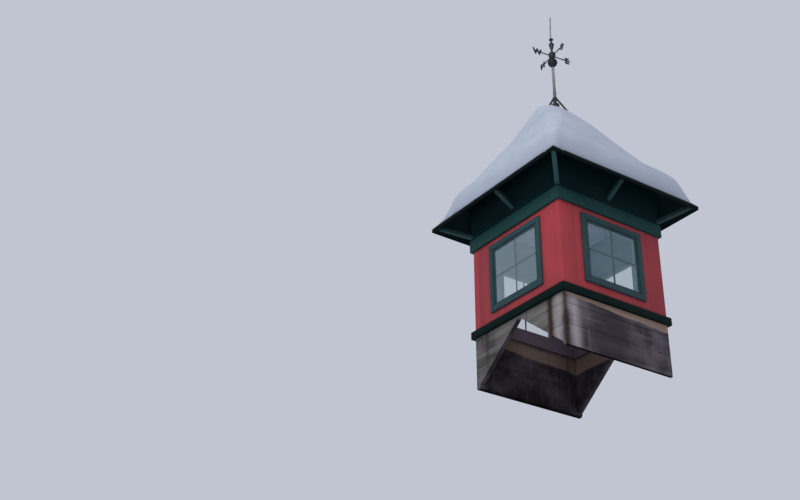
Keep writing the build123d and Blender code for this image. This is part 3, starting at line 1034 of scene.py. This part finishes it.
@dataclass
class Snow(Assembly):
    """The settled snow on the roof: a thick roll along the eaves, and a blunt top that leans off the middle.

    The roll's points are (inward from the edge, up from it), and the top's are (share of its half-width,
    down from it). A wave has its fineness in plan and upward, a start and a depth. A bump has a middle, a
    reach and a rise, and a ledge has a height, a reach and a rise. The ragged edge has a depth, a reach and
    a height, and its wave has a mean, a swing and a fineness.
    """

    sides: int = 384
    rings: int = 150
    under_rings: int = 26
    under_room: float = 0.006
    edge_room: float = 0.0015
    setback: float = 0.022
    depth: float = 0.095
    corner: float = 0.06
    corner_share: float = 0.9
    corner_growth: float = 0.1
    corner_half: float = 0.709
    slope_room: Sizes = (0.07, 0.055)
    slope_steps: int = 8
    top: float = 0.031
    top_half: float = 0.08
    top_points: Profile = ((1.02, 0.02), (0.72, 0.004), (0.3, 0.0))
    lean: Sizes = (-0.03, 0.09)
    lean_power: float = 5.0
    lean_ring: int = 50
    calm_rings: int = 6
    waves: tuple[Sizes, ...] = ((2.4, 2.1, 0.0, 0.01), (9.0, 9.0, 4.0, 0.003))
    bumps: tuple[tuple[Point, float, float], ...] = (
        ((-0.66, 0.66, 1.557), 0.16, -0.05),
        ((0.66, -0.66, 1.557), 0.15, -0.018),
        ((-0.2, 0.24, 2.3), 0.16, 0.025),
        ((0.42, -0.42, 1.93), 0.2, -0.008),
    )
    ledges: tuple[Sizes, ...] = ((1.68, 0.045, 0.007), (1.82, 0.06, -0.009))
    ragged_place: Sizes = (-0.62, 0.5)
    ragged: Sizes = (0.022, 0.2, 0.03)
    ragged_wave: Sizes = (0.35, 1.3, 22.0)
    roll_foot: Profile = ((0.0, -0.004), (-0.003, 0.03), (0.004, 0.075), (0.017, 0.13), (0.036, 0.185))
    roll_top: Profile = ((0.061, 0.23), (0.093, 0.262), (0.128, 0.287), (0.163, 0.33))

    @staticmethod
    def spread(points: Profile, count: int) -> list[Vector]:
        """Return a number of points at even steps along a soft curve through the given ones."""
        steps = 12
        ends = [points[0], *points, points[-1]]
        fine = []
        for index in range(1, len(ends) - 2):
            before, start, end, after = (Vector(ends[index + shift]) for shift in (-1, 0, 1, 2))
            for step in range(steps):
                t = step / steps
                bend = (2 * before - 5 * start + 4 * end - after) * t * t + (3 * (start - end) + after - before) * t**3
                fine.append(start + ((end - before) * t + bend) / 2)
        fine.append(Vector(points[-1]))
        reach = [0.0]
        for one, two in zip(fine, fine[1:]):
            reach.append(reach[-1] + (two - one).length)
        spaced, index = [], 0
        for step in range(count):
            goal = reach[-1] * step / (count - 1)
            while index < len(fine) - 2 and reach[index + 1] < goal:
                index += 1
            share = (goal - reach[index]) / (reach[index + 1] - reach[index])
            spaced.append(fine[index].lerp(fine[index + 1], share))
        return spaced

    def profile(self, curve: RoofCurve) -> tuple[list[Vector], list[Vector]]:
        """Return the (half-width, height) of each ring: up the outside, and under it from the edge to the apex."""
        edge = curve.eave.x - self.setback
        foot = curve.height(edge)
        top = curve.apex.y + self.top
        points = [(edge - inward, foot + rise) for inward, rise in (*self.roll_foot, *self.roll_top)]
        above, below = self.slope_room
        start = points[-1][1] + above
        for step in range(self.slope_steps + 1):
            height = start + (top - below - start) * step / self.slope_steps
            points.append((curve.half(height, self.depth), height))
        points += [(self.top_half * share, top - drop) for share, drop in self.top_points]
        outer = self.spread(points, self.rings - self.under_rings)
        halves = [edge * (1 - step / self.under_rings) for step in range(1, self.under_rings)]
        return outer, [Vector((half, curve.height(half) + self.under_room)) for half in halves]

    def place(self, half: float, turn: float) -> tuple[Vector, Vector]:
        """Return the place on the rounded square of a ring.

        Args:
            half: The ring's half-width.
            turn: How far round it the place is, from 0 to 4 sides, from the middle of the right side.

        Returns:
            The place in plan, and the way out from it.
        """
        corner = min(self.corner_share * half, self.corner + self.corner_growth * max(0.0, self.corner_half - half))
        straight, arc = half - corner, math.pi * corner / 4
        quarter = int(turn + 0.5)
        run = (turn - quarter) * 2 * (straight + arc)
        if abs(run) <= straight:
            spot, out = Vector((half, run)), Vector((1.0, 0.0))
        else:
            angle = math.copysign((abs(run) - straight) / corner, run)
            out = Vector((math.cos(angle), math.sin(angle)))
            spot = Vector((straight, math.copysign(straight, run))) + out * corner
        about = Matrix.Rotation(math.pi / 2 * quarter, 2)
        return about @ spot, about @ out

    def swell(self, spot: Vector) -> float:
        """Return how far the surface stands out at a point, in metres."""
        out = 0.0
        for plan, up, start, depth in self.waves:
            out += noise.noise(Vector((spot.x * plan, spot.y * plan, spot.z * up + start))) * depth
        for middle, reach, rise in self.bumps:
            out += rise * math.exp(-(((spot - Vector(middle)).length / reach) ** 2))
        for level, reach, rise in self.ledges:
            out += rise * math.exp(-(((spot.z - level) / reach) ** 2))
        return out

    def retreat(self, spot: Vector, foot: float) -> float:
        """Return how far the ragged lower edge is drawn in at a point near the left corner."""
        depth, reach, height = self.ragged
        across, along = self.ragged_place
        near = math.exp(-(((spot.x - across) ** 2 + (spot.y - along) ** 2) / reach**2))
        low = math.exp(-(((spot.z - foot) / height) ** 2))
        mean, swing, fine = self.ragged_wave
        return depth * near * low * (mean + swing * noise.noise(Vector((spot.x * fine, spot.y * fine, 3.0))))

    def build(self) -> None:
        """Shape the sheet of snow ring by ring."""
        curve = RoofCurve()
        outer, under = self.profile(curve)
        limit = curve.eave.x - self.edge_room
        start, top = outer[self.lean_ring].y, outer[-1].y
        rings = [*reversed(outer), *under]
        only()
        bpy.ops.mesh.primitive_uv_sphere_add(segments=self.sides, ring_count=len(rings) + 1, radius=1)
        snow = bpy.context.object
        snow.name = "snow_blanket"
        for vertex in snow.data.vertices:
            ring = round(math.acos(max(-1.0, min(1.0, vertex.co.z))) / math.pi * (len(rings) + 1)) - 1
            if ring < 0:
                vertex.co = (*self.lean, rings[0].y)
            elif ring == len(rings):
                vertex.co = (0, 0, rings[-1].y)
            else:
                half, height = rings[ring]
                plan, out = self.place(half, (math.atan2(vertex.co.y, vertex.co.x) % math.tau) / math.tau * 4)
                climb = max(0.0, height - start) / (top - start)
                shift = Vector(self.lean) * climb**self.lean_power
                spot = Vector((plan.x + shift.x, plan.y + shift.y, height))
                if ring < len(outer):
                    before, after = rings[max(ring - 1, 0)], rings[min(ring + 1, len(outer) - 1)]
                    slope = (after - before).normalized()
                    away = Vector((out.x * -slope.y, out.y * -slope.y, slope.x)).normalized()
                    spot += away * self.swell(spot) * min(1.0, (len(outer) - 1 - ring) / self.calm_rings)
                    spot -= Vector((*out, 0.0)) * self.retreat(spot, outer[0].y)
                vertex.co = (max(-limit, min(limit, spot.x)), max(-limit, min(limit, spot.y)), spot.z)
        self.dress(tint(face_outward(snow), 0.0), Finish.SNOW, "snow", "roof_snow")


@dataclass
class Weathervane(Assembly):
    """The mast on its bracket, with the globe, the arms with their letters, and the finial.

    The points of each profile are (radius, height), from the foot or the joint that the profile is named for.
    """

    bracket_easing: float = 0.001
    bolt: Profile = ((0.006, 0.0), (0.006, 0.0035), (0.0045, 0.005))
    bolt_reach: float = 0.0188
    bolt_drop: float = 0.01
    ferrule_drop: float = 0.245
    ferrule: Profile = ((0.014, -0.004), (0.0125, 0.002), (0.012, 0.012))
    mast_top: Profile = ((0.012, -0.002), (0.011, -0.0004), (0.004, 0.0))
    core_top: Profile = ((0.004, -0.0005), (0.0035, 0.0))
    spindle_top: Profile = ((0.0035, -0.0012), (0.0024, 0.0))
    globe_foot: Profile = ((0.008, 0.0), (0.009, 0.001))
    globe_radius: float = 0.04
    globe_middle: float = 0.05
    globe_seam: Profile = ((0.0408, 0.0482), (0.0408, 0.0518))
    hub_drop: float = 0.043
    hub_foot_half: float = 0.03
    hub_dome: Sizes = (0.024, 0.036)
    hub_core: float = 0.006
    hub_neck: Profile = ((0.0062, -0.002), (0.0062, 0.0))
    arm_radius: float = 0.0045
    arm_turn: float = -8.0
    arm_span: Sizes = (0.02, 0.182)
    arm_drop: float = 0.006
    knob_radius: float = 0.007
    knob_reach: float = 0.11
    letter_height: float = 0.056
    letter_size: float = 1.37
    letter_half: float = 0.0015
    letter_swell: float = 0.0045
    letter_reach: float = 0.146
    letters: dict[str, int] = field(default_factory=lambda: {"S": 270, "E": 0, "N": 90, "W": 180})
    finial_foot: Profile = ((0.006, 0.0), (0.0065, 0.001), (0.0115, 0.022), (0.0172, 0.045), (0.0212, 0.06))
    finial_bulge: Sizes = (0.0155, 0.0215, 0.067)
    finial_core: float = 0.0065
    finial_neck: Profile = ((0.0065, 0.1165), (0.012, 0.119), (0.0188, 0.122), (0.02, 0.123), (0.0188, 0.124))
    finial_top: Profile = ((0.011, 0.1265), (0.0066, 0.1285), (0.0062, 0.1412), (0.0055, 0.142))

    def bracket(self) -> None:
        """Ease the bracket's edges, and bolt its straps down."""
        parts = [from_node("mast_bracket", "strap_bracket", self.bracket_easing)]
        bolt = turned("bolt", self.bolt, 6)
        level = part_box("mast_bracket")[1].z - self.bolt_drop
        for side in Side:
            parts.append(copy(bolt, "bolt", side.turn() @ placed((0, -self.bolt_reach, level), 90, "X")))
        bpy.data.objects.remove(bolt)
        self.dress(join("strap_bracket", parts), Finish.IRON, "dark_iron", "mast_bracket")

    def upright(self, node: str, name: str, profile: Profile, finish: Finish, slot: str = "dark_iron") -> None:
        """Turn up a piece on the mast from its profile above the node's foot, and dress it."""
        self.dress(turned(name, lifted(profile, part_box(node)[0].z)), finish, slot, node)

    def oval(self, width: float, height: float, level: float, start: float, end: float, core: float = 0.0) -> Profile:
        """Return points up a bulge.

        Args:
            width: How far it swells past its core.
            height: Half its height.
            level: Its middle.
            start: The angle up from level at which it starts, in degrees.
            end: The angle at which it ends.
            core: The radius that it swells from.

        Returns:
            Its (radius, height) points.
        """
        count = max(3, round(abs(end - start) / 12))
        angles = [math.radians(start + (end - start) * step / count) for step in range(count + 1)]
        return [(core + width * math.cos(a), level + height * math.sin(a)) for a in angles]

    def letter(self, mark: str) -> Piece:
        """Return a compass letter cut from plate, upright in the plane of X and Z, with its foot at the origin."""
        only()
        bpy.ops.object.text_add(rotation=(math.radians(90), 0, 0))
        text = bpy.context.object.data
        text.body, text.align_x = mark, "CENTER"
        text.size = self.letter_height * self.letter_size
        text.extrude, text.offset = self.letter_half, self.letter_swell
        only(bpy.context.object)
        bpy.ops.object.convert(target="MESH")
        obj = settle(bpy.context.object, "letter")
        with editing(obj):
            bpy.ops.mesh.remove_doubles(threshold=0.00001)
        return face_outward(obj)

    def arms(self) -> None:
        """Build the hub, its four arms and their letters."""
        hub_low, hub_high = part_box("globe")[1].z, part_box("finial")[0].z
        middle = hub_high - self.hub_drop
        hub = self.oval(self.hub_foot_half, middle - hub_low, middle, -60, 0)
        hub += self.oval(*self.hub_dome, middle, 12, 84, self.hub_core)
        parts = [turned("hub", hub + lifted(self.hub_neck, hub_high))]
        start, end = self.arm_span
        for mark, azimuth in self.letters.items():
            arm = rod("arm", (start, 0, 0), (end, 0, 0), self.arm_radius)
            knob = turned("knob", self.oval(self.knob_radius, self.knob_radius, 0, -75, 75), 16)
            knob.data.transform(Matrix.Translation((self.knob_reach, 0, 0)))
            letter = self.letter(mark)
            letter.data.transform(Matrix.Translation((self.letter_reach, 0, -self.letter_height / 2)))
            for part in (arm, knob, letter):
                part.data.transform(placed((0, 0, middle - self.arm_drop), azimuth + self.arm_turn, "Z"))
                parts.append(part)
        self.dress(join("compass_arms", parts), Finish.IRON, "dark_iron", "directionals")

    def build(self) -> None:
        """Build the weathervane's fixed pieces."""
        self.bracket()
        foot, top = (corner.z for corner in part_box("mast"))
        globe_foot, finial_top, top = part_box("globe")[0].z - foot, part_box("finial")[1].z - foot, top - foot
        mast = [(0.0135, 0.0), (0.014, 0.001), *lifted(self.ferrule, globe_foot - self.ferrule_drop)]
        for profile, level in ((self.mast_top, globe_foot), (self.core_top, finial_top), (self.spindle_top, top)):
            mast += lifted(profile, level)
        self.upright("mast", "mast_rod", mast, Finish.BRONZE)
        round_ball = self.globe_radius, self.globe_radius, self.globe_middle
        ball = [*self.globe_foot, *self.oval(*round_ball, -36, -4), *self.globe_seam, *self.oval(*round_ball, 4, 80)]
        self.upright("globe", "globe_ball", ball, Finish.GLOBE, "aged_metal")
        self.arms()
        bulge = self.oval(*self.finial_bulge, 0, 84, self.finial_core)
        finial = [*self.finial_foot, *bulge, *self.finial_neck, *self.finial_top]
        self.upright("finial", "finial_balls", finial, Finish.IRON)


@dataclass
class WindArrow(Assembly):
    """The arrow that turns on the spindle.

    The head's notch, the fin's step and the rod's lap are shares of the length of the head, of the fin and
    of the fin's notch. The points of each profile are (radius, height) from the middle of the rod.
    """

    body: str = "vane"
    azimuth: float = 229.0
    head_reach: float = 0.15
    head_length: float = 0.05
    head_half: float = 0.02
    head_notch: float = 0.75
    tail_reach: float = 0.14
    fin_length: float = 0.072
    fin_half: float = 0.026
    fin_notch: float = 0.022
    fin_step: float = 0.6
    rod_lap: float = 0.3
    knob_rooms: Sizes = (0.006, 0.003)
    rod_radius: float = 0.004
    thickness: float = 0.0025
    sleeve_foot: Profile = ((0.0047, -0.03), (0.005, -0.029), (0.005, -0.01), (0.0065, -0.007))
    sleeve_top: Profile = ((0.0065, 0.006), (0.005, 0.0095), (0.002, 0.012))
    sleeve_bore: Profile = ((0.00355, -0.06), (0.00355, 0.0063))
    rod_bore: Profile = ((0.0037, -0.02), (0.0037, 0.0063))
    knob: Profile = ((0.003, -0.005), (0.0058, -0.002), (0.0058, 0.002), (0.003, 0.005))
    bore_sides: int = 20

    def build(self) -> None:
        """Build the arrow's bearing, rod, head and fin."""
        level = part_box("wind_arrow")[1].z - self.fin_half
        sleeve = turned("sleeve", lifted([*self.sleeve_foot, *self.sleeve_top], level), self.bore_sides)
        cut(sleeve, turned("bore", lifted(self.sleeve_bore, level), self.bore_sides))
        tip, tail = self.head_reach, -self.tail_reach
        ends = (tail + self.fin_notch * self.rod_lap, 0, 0), (tip - self.head_length / 2, 0, 0)
        shaft = cut(rod("rod", *ends, self.rod_radius), turned("bore", self.rod_bore, self.bore_sides))
        back, half = tip - self.head_length, self.head_half
        outline = [(tip, 0), (back, half), (tip - self.head_length * self.head_notch, 0), (back, -half)]
        parts = [shaft, plate("head", outline, self.thickness)]
        front, half = tail + self.fin_length, self.fin_half
        step = tail + self.fin_length * self.fin_step
        outline = [(tail + self.fin_notch, 0), (tail, half), (step, half), (front, 0), (step, -half), (tail, -half)]
        parts.append(plate("fin", outline, self.thickness))
        for end, room in zip((back, front), self.knob_rooms):
            knob = turned("knob", self.knob, 16)
            knob.data.transform(placed((end + room, 0, 0), 90, "Y"))
            parts.append(knob)
        for part in parts:
            part.data.transform(placed((0, 0, level), self.azimuth, "Z"))
        self.dress(join("arrow", [sleeve, *parts]), Finish.ZINC, "dark_iron", "wind_arrow")


@dataclass
class Studio:
    """The camera at the photograph's place, the floor and the light."""

    camera_place: Point = (-5.86986, -6.30372, -3.61215)
    looking: Point = (0.495515, 0.721188, 0.484101)
    across: Point = (0.822662, -0.568509, 0.004876)
    lens: float = 57.0218
    target: Point = (0.0, 0.0, 1.5)
    floor_half: float = 40.0
    floor_level: float = -0.0005
    floor_colours: tuple[Colour, Colour] = ((0.66, 0.67, 0.7), (0.6, 0.61, 0.64))
    sky: Colour = (0.53, 0.56, 0.64)
    sky_light: Colour = (0.93, 0.96, 1.0)
    sky_strength: Sizes = (0.5, 1.1)

    def build(self) -> None:
        """Set up the camera, floor, sky and lamps."""
        scene = bpy.context.scene
        data = bpy.data.cameras.new("camera")
        data.lens, data.sensor_width, data.clip_end = self.lens, 36.0, 400.0
        camera = bpy.data.objects.new("camera", data)
        scene.collection.objects.link(camera)
        back = -Vector(self.looking).normalized()
        right = Vector(self.across).normalized()
        turn = Matrix((right, back.cross(right).normalized(), back)).transposed().to_4x4()
        camera.matrix_world = Matrix.Translation(self.camera_place) @ turn
        scene.camera = camera
        scene.view_settings.view_transform = "Standard"
        self.floor()
        self.world()
        self.lamp("key_lamp", (-4.8, -2.4, 4.2), 3.0, 170.0)
        self.lamp("fill_lamp", (6.0, -6.0, 5.0), 6.0, 20.0)

    def lamp(self, name: str, place: Point, size: float, power: float) -> None:
        """Hang a soft square lamp that looks at the cupola."""
        data = bpy.data.lights.new(name, "AREA")
        data.size, data.energy = size, power
        lamp = bpy.data.objects.new(name, data)
        lamp.location = place
        lamp.rotation_euler = (Vector(place) - Vector(self.target)).to_track_quat("Z", "Y").to_euler()
        bpy.context.scene.collection.objects.link(lamp)

    def floor(self) -> None:
        """Lay a pale floor, which isn't seen from below."""
        only()
        bpy.ops.mesh.primitive_plane_add(size=2 * self.floor_half, location=(0, 0, self.floor_level))
        floor = settle(bpy.context.object, "floor")
        graph = Graph.of("pale_floor")
        graph.finish(graph.blend(graph.noise(1.5).fade(0.3, 0.7, 0.06), *self.floor_colours), 0.9)
        clear = graph.add("BsdfTransparent", 0)
        below = graph.add("NewGeometry", "Backfacing")
        graph.surface("Material Output", below, graph.shader.outputs[0], clear)
        floor.data.materials.append(graph.owner)

    def world(self) -> None:
        """Light the scene with a pale sky that is brighter overhead, and show a plain grey one behind it."""
        world = bpy.data.worlds.new("overcast")
        bpy.context.scene.world = world
        graph = Graph(world)
        up = graph.add("SeparateXYZ", "Z", {0: graph.add("TexCoord", "Generated")})
        low, high = self.sky_strength
        rise = graph.add("MapRange", "Result", {"Value": up, "To Min": low, "To Max": high})
        lit = graph.nodes["Background"]
        graph.feed(lit.inputs["Color"], self.sky_light)
        graph.feed(lit.inputs["Strength"], rise)
        shown = graph.add("LightPath", "Is Camera Ray")
        for ray in ("Is Glossy Ray", "Is Transmission Ray"):
            shown = graph.math("MAXIMUM", shown, graph.add("LightPath", ray))
        graph.surface("World Output", shown, lit.outputs[0], graph.add("Background", 0, {"Color": self.sky}))


def main() -> None:
    """Build every sub-assembly over the frame."""
    logging.basicConfig(level=logging.INFO, format="%(name)s %(message)s")
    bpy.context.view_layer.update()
    for assembly in (Curb, Walls, Windows, Trim, Roof, Snow, Weathervane, WindArrow):
        assembly().build()
    Studio().build()


if __name__ == "__main__":
    main()
